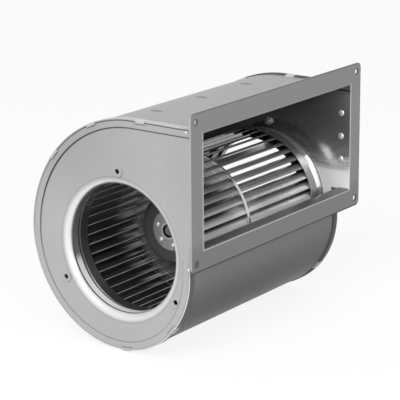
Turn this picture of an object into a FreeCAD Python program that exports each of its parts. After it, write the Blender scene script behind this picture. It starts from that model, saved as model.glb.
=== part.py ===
import FreeCAD, Part
import math
import os

import Sketcher

# A double-inlet DC centrifugal blower with a sheet-steel scroll casing.
# The origin is the middle of the outlet flange's front face. Air leaves towards -Y,
# the shaft lies along X and Z is up. The plain inlet is at -X, the motor bracket at +X.
# Casing and motor pieces are drawn about the shaft and then placed on it.

SIZES = {
    # Casing
    "sheet": 1.0,                 # galvanised sheet of the walls, wrap and cutoff
    "outlet_high": 96.8,          # inner height of the outlet
    "outlet_neck": 14.2,          # flange face to the front of the scroll
    "scroll_shift": 3.0,          # first and second arc centre behind the shaft
    "scroll_drop": 11.0,          # first arc centre below the shaft
    "scroll_gap": 10.8,           # first arc, front to bottom, outside the wheel's radius
    "scroll_step_back": 14.5,     # growth of the second arc, bottom to back
    "scroll_step_top": 19.5,      # growth of the third arc, back to top
    "rim_band": 6.5,              # flat band between the wall's joggle and its edge
    "rim_return": 5.0,            # how far the wall's edge laps over the wrap
    "tongue_bend": 7.0,           # outer radius of the cutoff's nose
    "tongue_lap": 12.0,           # cutoff leg riveted behind the wrap's front end
    # Outlet flange
    "flange_side": 16.0,          # flange beyond the duct, left and right
    "flange_edge": 17.1,          # the same above and below
    "flange_plate": 1.5,
    "flange_corner": 5.0,
    "flange_hole": 2.5,           # radius
    "hole_side": 7.0,             # hole to the flange's left or right edge
    "hole_edge": 7.5,             # hole to its top or bottom edge
    "collar_wall": 1.2,
    "collar_depth": 12.5,         # the collar's side flaps
    "flap_depth": 8.0,            # its top and bottom flaps
    "collar_rivet_back": 9.3,     # flange face to the row of rivets
    "collar_rivet_pitch": 21.5,
    # Inlet nozzles
    "lip_overlap": 1.0,           # wheel's inner radius less the nozzle's
    "lip_gap": 3.5,               # nozzle's lip to the wheel
    "inlet_bend": 7.0,            # air-side radius of the nozzle's mouth
    "inlet_depth": 12.5,
    "fixing_margin": 5.5,         # nozzle's mouth to the circle of fixing holes
    "fixing_boss": 5.0,           # radius of the raised pad round each hole
    "boss_wall": 0.7,
    "guard_hole": 2.25,           # radius, for a guard on the plain side
    "bracket_hole": 2.05,         # radius, for the bracket's screws
    # Impeller
    "wheel_radius": 66.5,
    "wheel_width": 192.0,
    "ring_depth": 9.0,            # radial depth of the end rings
    "ring_width": 10.5,
    "ring_skin": 0.8,
    "blade_skin": 0.5,
    "blade_gap": 0.1,             # blade to end ring, each side
    "blade_lean_in": 24.0,        # degrees forward of the radius at a blade's inner edge
    "blade_lean_out": 80.0,       # the same at its outer edge
    "blade_count": 43,
    "disc_place": -13.0,          # middle of the carrying disc
    "disc_plate": 1.2,
    "disc_rim": 3.0,
    "disc_neck": 9.0,             # drawn neck that grips the rotor bell
    # Rotor bell and hub
    "bell_radius": 32.0,
    "bell_wall": 1.6,
    "bell_corner": 4.0,
    "bell_face": -41.0,
    "bell_mouth": 9.0,
    "magnet_wall": 3.2,
    "magnet_start": -32.0,
    "magnet_end": -2.0,
    "hub_radius": 7.6,
    "hub_nose": 3.5,              # hub in front of the bell's face
    "hub_recess": 3.0,
    "hub_rim": 2.3,               # wall round the hub's recess
    "hub_flange": 17.0,
    "hub_plate": 1.6,
    "hub_plate_radius": 18.0,
    "hub_rivet_circle": 13.5,
    "hub_rivet_turn": 15.0,       # degrees from the axis to the first hub rivet
    "hub_rivet": 1.5,             # shank radius
    "rivet_head": 1.2,            # head height
    "rivet_head_radius": 2.4,
    "rivet_button_radius": 3.0,   # the wider heads inside the duct
    # Shaft and bearings
    "shaft_radius": 4.0,
    "shaft_rear": 11.0,
    "bearing_radius": 11.0,
    "bearing_width": 7.0,
    "bearing_front": -28.0,
    "bearing_rear": 2.0,
    "ball_circle": 7.5,
    "ball_radius": 1.95,
    "ball_count": 7,
    "race_gap": 0.05,             # ball to race
    "race_land": 1.3,             # ball circle to each ring's land
    "washer_thick": 0.4,
    "clip_thick": 0.8,
    # Stator
    "seat_gap": 0.02,             # pressed and glued seats
    "air_gap": 0.6,
    "tube_wall": 2.0,
    "carrier_face": 11.0,
    "carrier_plate": 3.0,
    "carrier_radius": 34.0,
    "core_start": -30.0,
    "core_end": -4.0,
    "insulator": 1.0,
    "tooth_count": 12,
    "tooth_wide": 4.6,
    "yoke_wall": 3.5,
    "shoe_thick": 1.6,
    "slot_mouth": 2.2,
    "coil_thick": 2.0,
    "coil_height": 6.4,
    "board_place": 3.0,
    "board_thick": 1.6,
    "board_radius": 25.5,
    # Motor bracket
    "bracket_plate": 2.0,
    "bracket_bore": 16.0,
    "arm_wide": 12.0,
    "arm_radius": 46.0,           # outer face of the arms inside the inlet
    "arm_bend": 4.0,
    "screw_radius": 1.95,
    "screw_margin": 10.0,         # carrier's edge to the circle of its screws
    "screw_hole": 2.0,
    "screw_head": 2.4,            # head height
    "screw_head_radius": 3.6,
    "nut_flat": 3.5,              # half the width across flats
    "nut_high": 3.0,
    "grommet_margin": 11.0,       # carrier's edge to the grommet's axis
    "grommet_bore": 2.4,
    "grommet_neck": 3.6,
    "grommet_lip": 4.8,
    "grommet_lip_thick": 1.5,
}


class Size:
    """A number and the spreadsheet formula that gives it."""

    def __init__(self, value, formula):
        self.value = value
        self.formula = formula

    def __add__(self, other):
        other = as_size(other)
        return Size(self.value + other.value, f"({self.formula} + {other.formula})")

    def __sub__(self, other):
        other = as_size(other)
        return Size(self.value - other.value, f"({self.formula} - {other.formula})")

    def __mul__(self, other):
        other = as_size(other)
        return Size(self.value * other.value, f"({self.formula} * {other.formula})")

    def __truediv__(self, other):
        other = as_size(other)
        return Size(self.value / other.value, f"({self.formula} / {other.formula})")

    def __neg__(self):
        return Size(-self.value, f"(-1 * {self.formula})")


def as_size(number):
    return number if isinstance(number, Size) else Size(float(number), str(float(number)))


def sine(angle):
    angle = as_size(angle)
    return Size(math.sin(math.radians(angle.value)), f"sin({angle.formula} * 1 deg)")


def cosine(angle):
    angle = as_size(angle)
    return Size(math.cos(math.radians(angle.value)), f"cos({angle.formula} * 1 deg)")


def root(number):
    return Size(math.sqrt(number.value), f"sqrt({number.formula})")


ZERO = as_size(0)

doc = FreeCAD.newDocument("dc_blower_fan")
cells = doc.addObject("Spreadsheet::Sheet", "Sizes")
size = {}
for row, (name, number) in enumerate(SIZES.items(), start=1):
    cells.set(f"A{row}", name)
    cells.set(f"B{row}", str(number))
    cells.setAlias(f"B{row}", name)
    size[name] = Size(float(number), f"Sizes.{name}")
doc.recompute()

PIECES = []


# Helpers for bodies and sketches

def origin_feature(body, role):
    return next(f for f in body.Origin.OriginFeatures if f.Role == role)


def new_body(label, on_shaft=True):
    body = doc.addObject("PartDesign::Body", label)
    body.Label = label
    if on_shaft:
        body.setExpression("Placement.Base.y", shaft_back.formula)
        body.setExpression("Placement.Base.z", (-shaft_drop).formula)
    PIECES.append(body)
    return body


def new_sketch(body, role, lift=ZERO):
    sketch = body.newObject("Sketcher::SketchObject", body.Label + "_sketch")
    sketch.AttachmentSupport = [(origin_feature(body, role), "")]
    sketch.MapMode = "FlatFace"
    sketch.setExpression("AttachmentOffset.Base.z", lift.formula)
    return sketch


def hold(sketch, element, end, x, y):
    """Ties one sketch point to its place from the origin."""
    for kind, axis, distance in (("DistanceX", -2, x), ("DistanceY", -1, y)):
        if distance is ZERO:
            sketch.addConstraint(Sketcher.Constraint("PointOnObject", element, end, axis))
            continue
        index = sketch.addConstraint(Sketcher.Constraint(kind, -1, 1, element, end, distance.value))
        sketch.setExpression(f"Constraints[{index}]", distance.formula)


def set_radius(sketch, element, radius):
    index = sketch.addConstraint(Sketcher.Constraint("Radius", element, radius.value))
    sketch.setExpression(f"Constraints[{index}]", radius.formula)


def point(x, y):
    return FreeCAD.Vector(x.value, y.value, 0)


def arc_between(start, end, radius, turn):
    """The shorter arc from start to end. turn is 1 anticlockwise and -1 clockwise."""
    half = (end - start) * 0.5
    rise = math.sqrt(max(radius * radius - half.Length ** 2, 0.0))
    side = FreeCAD.Vector(-half.y, half.x, 0).normalize() * turn
    centre = start + half + side * rise
    angles = [math.atan2(p.y - centre.y, p.x - centre.x) for p in (start, end)]
    if turn < 0:
        angles.reverse()
    circle = Part.Circle(centre, FreeCAD.Vector(0, 0, 1), radius)
    return Part.ArcOfCircle(circle, angles[0], angles[1])


def outline(sketch, points):
    """A closed outline. A point is (x, y), or (x, y, radius, turn) at the end of an arc."""
    first = sketch.GeometryCount
    ends = []
    for index, place in enumerate(points):
        start = point(*points[index - 1][:2])
        end = point(*place[:2])
        if len(place) == 2:
            sketch.addGeometry(Part.LineSegment(start, end), False)
            ends.append((1, 2))
        else:
            sketch.addGeometry(arc_between(start, end, place[2].value, place[3]), False)
            ends.append((1, 2) if place[3] > 0 else (2, 1))
            set_radius(sketch, first + index, place[2])
        hold(sketch, first + index, ends[-1][1], place[0], place[1])
    for index in range(len(points)):
        before = (index - 1) % len(points)
        meeting = (first + before, ends[before][1], first + index, ends[index][0])
        sketch.addConstraint(Sketcher.Constraint("Coincident", *meeting))


def rectangle(sketch, left, right, low, high):
    outline(sketch, [(left, low), (right, low), (right, high), (left, high)])


def rounded_rectangle(sketch, half_wide, half_high, corner):
    across = half_wide - corner
    up = half_high - corner
    outline(sketch, [
        (across, -half_high), (half_wide, -up, corner, 1),
        (half_wide, up), (across, half_high, corner, 1),
        (-across, half_high), (-half_wide, up, corner, 1),
        (-half_wide, -up), (-across, -half_high, corner, 1),
    ])


def circle(sketch, x, y, radius):
    made = Part.Circle(point(x, y), FreeCAD.Vector(0, 0, 1), radius.value)
    element = sketch.addGeometry(made, False)
    hold(sketch, element, 3, x, y)
    set_radius(sketch, element, radius)


def polar(radius, angle):
    return radius * cosine(angle), radius * sine(angle)


def add_feature(kind, sketch, length=None, back=False):
    """A Pad, Pocket or Revolution of the sketch. A Pad grows along the plane's normal."""
    body = sketch.getParentGeoFeatureGroup()
    feature = body.newObject("PartDesign::" + kind, f"{body.Label}_{kind.lower()}")
    feature.Profile = sketch
    if kind == "Revolution":
        feature.ReferenceAxis = (origin_feature(body, "X_Axis"), [""])
        feature.Angle = 360
    else:
        feature.setExpression("Length", length.formula)
        feature.Reversed = back
    sketch.Visibility = False
    return feature


def revolve(label, points):
    """A turned or drawn piece: its section is in (x, radius) and turns about the shaft."""
    body = new_body(label)
    sketch = new_sketch(body, "XY_Plane")
    outline(sketch, points)
    add_feature("Revolution", sketch)
    return body


def ring_of(features, count):
    """Repeats the features round the shaft."""
    body = features[0].getParentGeoFeatureGroup()
    pattern = body.newObject("PartDesign::PolarPattern", body.Label + "_ring")
    pattern.Originals = features
    pattern.Axis = (origin_feature(body, "X_Axis"), [""])
    pattern.Angle = 360
    if isinstance(count, Size):
        pattern.setExpression("Occurrences", count.formula)
    else:
        pattern.Occurrences = count
    body.Tip = pattern
    return pattern


def row_of(features, role, length, count):
    """Repeats the features in a straight row of that length."""
    body = features[0].getParentGeoFeatureGroup()
    pattern = body.newObject("PartDesign::LinearPattern", body.Label + "_row")
    pattern.Originals = features
    pattern.Direction = (origin_feature(body, role), [""])
    pattern.setExpression("Length", length.formula)
    pattern.Occurrences = count
    body.Tip = pattern
    return pattern


# Places worked out from the driving sizes

sheet = size["sheet"]
wheel_half = size["wheel_width"] / 2
wheel_inner = size["wheel_radius"] - size["ring_depth"]
inlet_radius = wheel_inner - size["lip_overlap"]
inlet_mouth = inlet_radius + size["inlet_bend"]
fixing_circle = inlet_mouth + size["fixing_margin"]
lip_place = wheel_half + size["lip_gap"]
half_outside = lip_place + size["inlet_depth"]
half_inside = half_outside - sheet
half_rim = half_outside + sheet

low_centre = (size["scroll_shift"], -size["scroll_drop"])
back_centre = (size["scroll_shift"], size["scroll_step_back"] - size["scroll_drop"])
top_centre = (size["scroll_shift"] - size["scroll_step_top"], back_centre[1])
low_radius = size["wheel_radius"] + size["scroll_gap"]
back_radius = low_radius + size["scroll_step_back"]
top_radius = back_radius + size["scroll_step_top"]
scroll_front = low_centre[0] - low_radius
scroll_top = top_centre[1] + top_radius
shaft_back = size["outlet_neck"] - scroll_front
outlet_front = -shaft_back
floor_top = scroll_top - sheet - size["outlet_high"]
floor_low = floor_top - sheet
shaft_drop = scroll_top - sheet - size["outlet_high"] / 2

blade_start = wheel_inner + size["ring_skin"] + size["blade_gap"]
disc_left = size["disc_place"] - size["disc_plate"] / 2
disc_right = size["disc_place"] + size["disc_plate"] / 2
bell_inner = size["bell_radius"] - size["bell_wall"]
magnet_radius = bell_inner - size["seat_gap"]
core_radius = magnet_radius - size["magnet_wall"] - size["air_gap"]
tube_radius = size["bearing_radius"] + size["tube_wall"]
carrier_back = size["carrier_face"] + size["carrier_plate"]
bracket_back = carrier_back + size["bracket_plate"]
foot_face = half_rim
foot_reach = fixing_circle + size["arm_wide"] / 2
nut_start = half_outside - size["nut_high"]
arm_angles = [as_size(angle) for angle in (90, 210, 330)]
screw_angles = [as_size(angle) for angle in (30, 150, 270)]
tongue_rivet_count = 4
tongue_rivet_pitch = half_inside * 2 / tongue_rivet_count
tongue_rivet_first = -half_inside + tongue_rivet_pitch / 2
tongue_rivet_row = tongue_rivet_pitch * (tongue_rivet_count - 1)
rivet_hole = size["hub_rivet"] + size["race_gap"]
screw_circle = size["carrier_radius"] - size["screw_margin"]
grommet_circle = size["carrier_radius"] - size["grommet_margin"]
hub_bore = size["hub_radius"] - size["hub_rim"]


# Casing

def scroll_arcs(grow):
    """The three tangent arcs from the front to the top, grown outwards by grow."""
    low = low_radius + grow
    back = back_radius + grow
    top = top_radius + grow
    return [
        (low_centre[0] - low, low_centre[1]),
        (low_centre[0], low_centre[1] - low, low, 1),
        (back_centre[0] + back, back_centre[1], back, 1),
        (top_centre[0], top_centre[1] + top, top, 1),
    ]


def scroll_arcs_back(grow):
    """The same arcs from the top to the front."""
    front, low, back, top = scroll_arcs(grow)
    return [
        (top[0], top[1]),
        (back[0], back[1], top[2], -1),
        (low[0], low[1], back[2], -1),
        (front[0], front[1], low[2], -1),
    ]


def scroll_band(sketch, outer, inner, front_top, outlet_end):
    """A strip round the scroll between two growths, from its front edge to the outlet."""
    outline(sketch, scroll_arcs(outer) + [
        (outlet_end, scroll_top + outer),
        (outlet_end, scroll_top + inner),
    ] + scroll_arcs_back(inner) + [
        (scroll_front - inner, front_top),
        (scroll_front - outer, front_top),
    ])


def side_wall(label, side):
    """A pressed wall: a flat rim joggled out by one sheet, a lapped edge and a nozzle."""
    body = new_body(label)
    back = side > 0
    rim_face = half_rim * side
    band_front = scroll_front - sheet

    rim = new_sketch(body, "YZ_Plane", rim_face)
    outline(rim, scroll_arcs(sheet) + [(band_front, scroll_top + sheet)])
    add_feature("Pad", rim, sheet, back)

    lap = new_sketch(body, "YZ_Plane", rim_face)
    scroll_band(lap, sheet, ZERO, floor_low - size["tongue_bend"], band_front)
    add_feature("Pad", lap, sheet + size["rim_return"], back)

    joggle = size["rim_band"] - sheet
    dish = new_sketch(body, "YZ_Plane", rim_face)
    outline(dish, scroll_arcs(-joggle) + [
        (scroll_front, scroll_top - joggle),
        (scroll_front, scroll_top - sheet),
        (band_front, scroll_top - sheet),
        (band_front, floor_low),
        (scroll_front + joggle, floor_low),
    ])
    add_feature("Pad", dish, sheet * 2, back)

    field = new_sketch(body, "YZ_Plane", rim_face)
    beyond = band_front - sheet
    outline(field, scroll_arcs(-size["rim_band"]) + [
        (beyond, scroll_top - size["rim_band"]),
        (beyond, floor_low + sheet),
        (scroll_front + size["rim_band"], floor_low + sheet),
    ])
    add_feature("Pocket", field, sheet, not back)

    duct = new_sketch(body, "YZ_Plane", half_outside * side)
    rectangle(duct, outlet_front, scroll_front, floor_low, scroll_top - sheet)
    add_feature("Pad", duct, sheet, back)

    hole = new_sketch(body, "YZ_Plane", half_outside * side)
    circle(hole, ZERO, ZERO, inlet_mouth)
    add_feature("Pocket", hole, sheet, not back)

    nozzle = new_sketch(body, "XY_Plane")
    bend_x = (half_outside - size["inlet_bend"]) * side
    outline(nozzle, [
        (half_outside * side, inlet_mouth),
        (bend_x, inlet_radius, size["inlet_bend"], -side),
        (lip_place * side, inlet_radius),
        (lip_place * side, inlet_radius + sheet),
        (bend_x, inlet_radius + sheet),
        (half_inside * side, inlet_mouth, size["inlet_bend"] - sheet, side),
    ])
    add_feature("Revolution", nozzle)

    for kind, lift, radius in (
        ("Pad", rim_face, size["fixing_boss"]),
        ("Pocket", half_outside * side, size["fixing_boss"] - size["boss_wall"]),
        ("Pocket", rim_face, size["bracket_hole"] if back else size["guard_hole"]),
    ):
        fixing = new_sketch(body, "YZ_Plane", lift)
        for angle in arm_angles:
            circle(fixing, *polar(fixing_circle, angle), radius)
        add_feature(kind, fixing, sheet, back if kind == "Pad" else not back)

    rivets = new_sketch(body, "YZ_Plane", half_outside * side)
    for step in (-1, 0, 1):
        rivet_z = shaft_drop + size["collar_rivet_pitch"] * step
        circle(rivets, outlet_front + size["collar_rivet_back"], rivet_z, rivet_hole)
    add_feature("Pocket", rivets, sheet, not back)


def scroll_wrap():
    """The spiral sheet between the walls, from behind the cutoff over to the outlet."""
    body = new_body("scroll_wrap")
    strip = new_sketch(body, "YZ_Plane", -half_outside)
    front_top = floor_low - size["tongue_bend"]
    scroll_band(strip, ZERO, -sheet, front_top, outlet_front)
    add_feature("Pad", strip, half_outside * 2)
    tongue_holes(body, scroll_front, sheet)


def tongue_rivet_height():
    return floor_low - size["tongue_bend"] - size["tongue_lap"] / 2


def tongue_holes(body, face, depth):
    """Four rivet holes across the casing, through a sheet whose front face is at face."""
    holes = new_sketch(body, "XZ_Plane", -face)
    circle(holes, tongue_rivet_first, tongue_rivet_height(), rivet_hole)
    cut = add_feature("Pocket", holes, depth, False)
    row_of([cut], "X_Axis", tongue_rivet_row, tongue_rivet_count)


def cutoff_tongue():
    """The outlet floor, bent down over the cutoff nose behind the wrap's front end."""
    body = new_body("cutoff_tongue")
    outside = scroll_front + sheet * 2
    inside = scroll_front + sheet
    bend = size["tongue_bend"]
    foot = floor_low - bend - size["tongue_lap"]
    sketch = new_sketch(body, "YZ_Plane", -half_inside)
    outline(sketch, [
        (outlet_front, floor_low),
        (outside - bend, floor_low),
        (inside, floor_top - bend, bend - sheet, -1),
        (inside, foot),
        (outside, foot),
        (outside, floor_top - bend),
        (outside - bend, floor_top, bend, 1),
        (outlet_front, floor_top),
    ])
    add_feature("Pad", sketch, half_inside * 2)
    tongue_holes(body, inside, sheet)


def tongue_rivets():
    """Four rivets through the wrap's front end and the cutoff's leg."""
    body = new_body("tongue_rivets")
    head = size["rivet_head"] / 2
    pads = []
    for start, length, radius in (
        (scroll_front, sheet * 2, size["hub_rivet"]),
        (scroll_front - head, head, size["rivet_head_radius"]),
        (scroll_front + sheet * 2, head, size["rivet_head_radius"]),
    ):
        sketch = new_sketch(body, "XZ_Plane", -start)
        circle(sketch, tongue_rivet_first, tongue_rivet_height(), radius)
        pads.append(add_feature("Pad", sketch, length, True))
    row_of(pads, "X_Axis", tongue_rivet_row, tongue_rivet_count)


def outlet_flange():
    """The flat flange with a collar of four flaps that grips the duct."""
    body = new_body("outlet_flange", on_shaft=False)
    duct_half_high = size["outlet_high"] / 2 + sheet
    half_wide = half_outside + size["flange_side"]
    half_high = duct_half_high + size["flange_edge"]
    plate = new_sketch(body, "XZ_Plane")
    rounded_rectangle(plate, half_wide, half_high, size["flange_corner"])
    rectangle(plate, -half_outside, half_outside, -duct_half_high, duct_half_high)
    for across in (-1, 1):
        for up in (-1, 1):
            x = (half_wide - size["hole_side"]) * across
            z = (half_high - size["hole_edge"]) * up
            circle(plate, x, z, size["flange_hole"])
    add_feature("Pad", plate, size["flange_plate"], True)

    sides = new_sketch(body, "XZ_Plane", -size["flange_plate"])
    wide = half_outside + size["collar_wall"]
    high = duct_half_high + size["collar_wall"]
    rectangle(sides, -wide, -half_outside, -high, high)
    rectangle(sides, half_outside, wide, -high, high)
    add_feature("Pad", sides, size["collar_depth"] - size["flange_plate"], True)

    flaps = new_sketch(body, "XZ_Plane", -size["flange_plate"])
    rectangle(flaps, -half_outside, half_outside, -high, -duct_half_high)
    rectangle(flaps, -half_outside, half_outside, duct_half_high, high)
    add_feature("Pad", flaps, size["flap_depth"] - size["flange_plate"], True)

    holes = new_sketch(body, "YZ_Plane", wide)
    for step in (-1, 0, 1):
        place = size["collar_rivet_pitch"] * step if step else ZERO
        circle(holes, size["collar_rivet_back"], place, rivet_hole)
    add_feature("Pocket", holes, wide * 2)


def collar_rivets(label, side):
    """Three rivets that hold the flange's collar to a side wall."""
    body = new_body(label, on_shaft=False)
    grip = sheet + size["collar_wall"]
    first = -size["collar_rivet_pitch"]
    outward = side < 0
    pads = []
    for start, length, radius in (
        (half_inside * side, grip, size["hub_rivet"]),
        ((half_inside - size["rivet_head"]) * side, size["rivet_head"], size["rivet_button_radius"]),
        ((half_inside + grip) * side, size["rivet_head"] / 2, size["rivet_head_radius"]),
    ):
        sketch = new_sketch(body, "YZ_Plane", start)
        circle(sketch, size["collar_rivet_back"], first, radius)
        pads.append(add_feature("Pad", sketch, length, outward))
    row_of(pads, "Z_Axis", size["collar_rivet_pitch"] * 2, 3)


# Motor support on the right side

def motor_bracket():
    """A ring plate with three arms that reach out through the inlet to the wall."""
    body = new_body("motor_bracket")
    ring = new_sketch(body, "YZ_Plane", carrier_back)
    circle(ring, ZERO, ZERO, size["carrier_radius"])
    circle(ring, ZERO, ZERO, size["bracket_bore"])
    add_feature("Pad", ring, size["bracket_plate"])

    arm = new_sketch(body, "XZ_Plane", -size["arm_wide"] / 2)
    plate = size["bracket_plate"]
    bend = size["arm_bend"]
    outer = size["arm_radius"]
    inner = outer - plate
    foot_back = foot_face + plate
    outline(arm, [
        (carrier_back, size["carrier_radius"] - plate),
        (bracket_back, size["carrier_radius"] - plate),
        (bracket_back, outer - bend),
        (carrier_back + bend, inner, bend - plate, -1),
        (foot_back - bend, inner),
        (foot_back, inner + bend, bend, 1),
        (foot_back, foot_reach),
        (foot_face, foot_reach),
        (foot_face, inner + bend),
        (foot_back - bend, outer, bend - plate, -1),
        (carrier_back + bend, outer),
        (carrier_back, outer - bend, bend, 1),
    ])
    ring_of([add_feature("Pad", arm, size["arm_wide"])], 3)

    holes = new_sketch(body, "YZ_Plane", foot_face + plate)
    for angle in arm_angles:
        circle(holes, *polar(fixing_circle, angle), size["bracket_hole"])
    add_feature("Pocket", holes, plate)

    near = new_sketch(body, "YZ_Plane", bracket_back)
    for angle in screw_angles:
        circle(near, *polar(screw_circle, angle), size["screw_hole"])
    circle(near, ZERO, grommet_circle, size["grommet_lip"] + size["race_gap"])
    body.Tip = add_feature("Pocket", near, plate)


def bracket_screws():
    """Three screws through the feet and the wall."""
    body = new_body("bracket_screws")
    head = foot_face + size["bracket_plate"]
    tail = nut_start - sheet
    pads = []
    for start, end, radius in (
        (tail, head, size["screw_radius"]),
        (head, head + size["screw_head"], size["screw_head_radius"]),
    ):
        sketch = new_sketch(body, "YZ_Plane", start)
        circle(sketch, ZERO, fixing_circle, radius)
        pads.append(add_feature("Pad", sketch, end - start))
    ring_of(pads, 3)


def bracket_nuts():
    """Three hexagon nuts that sit in the wall's raised pads."""
    body = new_body("bracket_nuts")
    sketch = new_sketch(body, "YZ_Plane", nut_start)
    corner = size["nut_flat"] / cosine(30)
    outline(sketch, [
        (corner * cosine(turn), fixing_circle + corner * sine(turn))
        for turn in (15, 75, 135, 195, 255, 315)
    ])
    circle(sketch, ZERO, fixing_circle, size["screw_hole"])
    ring_of([add_feature("Pad", sketch, size["nut_high"])], 3)


def motor_carrier():
    """The cast tube and flange that hold the stator and both bearings."""
    seat = size["bearing_radius"] + size["seat_gap"]
    shoulder = size["bearing_radius"] - size["tube_wall"]
    front = size["bearing_front"] - sheet
    shoulder_front = size["bearing_front"] + size["bearing_width"] + size["washer_thick"]
    body = revolve("motor_carrier", [
        (front, seat),
        (shoulder_front, seat),
        (shoulder_front, shoulder),
        (size["bearing_rear"], shoulder),
        (size["bearing_rear"], seat),
        (carrier_back, seat),
        (carrier_back, size["carrier_radius"]),
        (size["carrier_face"], size["carrier_radius"]),
        (size["carrier_face"], tube_radius),
        (front, tube_radius),
    ])
    holes = new_sketch(body, "YZ_Plane", carrier_back)
    for angle in screw_angles:
        circle(holes, *polar(screw_circle, angle), size["screw_hole"])
    circle(holes, ZERO, grommet_circle, size["grommet_neck"] + size["race_gap"])
    add_feature("Pocket", holes, size["carrier_plate"])


def motor_screws():
    """Three screws that hold the carrier to the bracket."""
    body = new_body("motor_screws")
    pads = []
    for start, end, radius in (
        (size["carrier_face"], bracket_back, size["screw_radius"]),
        (bracket_back, bracket_back + size["screw_head"], size["screw_head_radius"]),
    ):
        sketch = new_sketch(body, "YZ_Plane", start)
        circle(sketch, *polar(screw_circle, screw_angles[0]), radius)
        pads.append(add_feature("Pad", sketch, end - start))
    ring_of(pads, 3)


def lead_grommet():
    """The rubber grommet where the motor lead leaves the carrier."""
    body = new_body("lead_grommet")
    lip = size["grommet_lip_thick"]
    for start, length, radius in (
        (size["carrier_face"] - lip, lip, size["grommet_lip"]),
        (size["carrier_face"], size["carrier_plate"], size["grommet_neck"]),
        (carrier_back, lip, size["grommet_lip"]),
    ):
        sketch = new_sketch(body, "YZ_Plane", start)
        circle(sketch, ZERO, grommet_circle, radius)
        circle(sketch, ZERO, grommet_circle, size["grommet_bore"])
        add_feature("Pad", sketch, length)


def bearing_cap():
    """The plug that closes the carrier behind the rear bearing."""
    revolve("bearing_cap", [
        (carrier_back - sheet, ZERO),
        (carrier_back - sheet, size["bearing_radius"]),
        (carrier_back, size["bearing_radius"]),
        (carrier_back, ZERO),
    ])


# Stator

def stator_outline(sketch):
    circle(sketch, ZERO, ZERO, core_radius)
    circle(sketch, ZERO, ZERO, tube_radius + size["seat_gap"])


def slot_outline(sketch):
    """One winding slot, centred on the sketch's first axis."""
    half_pitch = as_size(180) / size["tooth_count"]
    half_tooth = size["tooth_wide"] / 2
    half_mouth = size["slot_mouth"] / 2
    shoe = core_radius - size["shoe_thick"]
    yoke = tube_radius + size["yoke_wall"]
    beyond = core_radius + sheet

    def flank(radius):
        """A point of the tooth's flank, that far out along the tooth."""
        along = radius * cosine(half_pitch) + half_tooth * sine(half_pitch)
        across = radius * sine(half_pitch) - half_tooth * cosine(half_pitch)
        return along, across

    upper = [(beyond, half_mouth), (shoe, half_mouth), flank(shoe), flank(yoke)]
    lower = [(along, -across) for along, across in reversed(upper)]
    outline(sketch, upper + lower)


def stator_core():
    """The laminated core: a yoke with twelve teeth."""
    body = new_body("stator_core")
    stack = new_sketch(body, "YZ_Plane", size["core_start"])
    stator_outline(stack)
    length = size["core_end"] - size["core_start"]
    add_feature("Pad", stack, length)
    slot = new_sketch(body, "YZ_Plane", size["core_start"])
    slot_outline(slot)
    ring_of([add_feature("Pocket", slot, length, True)], size["tooth_count"])


def stator_insulator(label, start):
    """An end plate that keeps the coils off the core."""
    body = new_body(label)
    plate = new_sketch(body, "YZ_Plane", start)
    stator_outline(plate)
    add_feature("Pad", plate, size["insulator"])
    slot = new_sketch(body, "YZ_Plane", start)
    slot_outline(slot)
    ring_of([add_feature("Pocket", slot, size["insulator"], True)], size["tooth_count"])


def stator_coils():
    """One coil round each tooth."""
    body = new_body("stator_coils")
    body.Placement.Rotation = FreeCAD.Rotation(FreeCAD.Vector(1, 0, 0), 180)
    half_pitch = as_size(180) / size["tooth_count"]
    body.setExpression("Placement.Rotation.Angle", f"{half_pitch.formula} * 1 deg")
    clear = size["race_gap"]
    start = size["core_start"] - size["insulator"] - clear
    end = size["core_end"] + size["insulator"] + clear
    half = size["tooth_wide"] / 2 + clear
    thick = size["coil_thick"]
    foot = tube_radius + size["yoke_wall"] + sheet
    sketch = new_sketch(body, "XZ_Plane", -foot)
    rectangle(sketch, start - thick, end + thick, -half - thick, half + thick)
    rectangle(sketch, start, end, -half, half)
    ring_of([add_feature("Pad", sketch, size["coil_height"], True)], size["tooth_count"])


def circuit_board():
    """The ring-shaped board of the motor's electronics."""
    body = new_body("circuit_board")
    board = new_sketch(body, "YZ_Plane", size["board_place"])
    circle(board, ZERO, ZERO, size["board_radius"])
    circle(board, ZERO, ZERO, tube_radius + size["seat_gap"])
    add_feature("Pad", board, size["board_thick"])


def board_components():
    """Position sensors facing the magnets and a pair of capacitors behind the board."""
    body = new_body("board_components")
    back = size["board_place"] + size["board_thick"]
    sensors = new_sketch(body, "YZ_Plane", size["board_place"])
    circle_middle = (tube_radius + size["board_radius"]) / 2
    half = size["board_thick"]
    for angle in (180, 210, 240):
        y, z = polar(circle_middle, as_size(angle))
        rectangle(sensors, y - half, y + half, z - half, z + half)
    add_feature("Pad", sensors, size["board_thick"], True)
    cans = new_sketch(body, "YZ_Plane", back)
    for angle in (-30, 20):
        circle(cans, *polar(circle_middle, as_size(angle)), size["board_thick"] * 2)
    body.Tip = add_feature("Pad", cans, size["carrier_face"] - back - sheet)


# Bearings

def bearing_ring(label, start, outer):
    """One ring of a ball bearing, with the race that the balls run in."""
    end = start + size["bearing_width"]
    middle = start + size["bearing_width"] / 2
    groove = size["ball_radius"] + size["race_gap"]
    half_groove = root(groove * groove - size["race_land"] * size["race_land"])
    if outer:
        land = size["ball_circle"] + size["race_land"]
        skin = size["bearing_radius"]
        turn = -1
    else:
        land = size["ball_circle"] - size["race_land"]
        skin = size["shaft_radius"] + size["seat_gap"]
        turn = 1
    revolve(label, [
        (start, skin),
        (start, land),
        (middle - half_groove, land),
        (middle + half_groove, land, groove, turn),
        (end, land),
        (end, skin),
    ])


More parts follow.
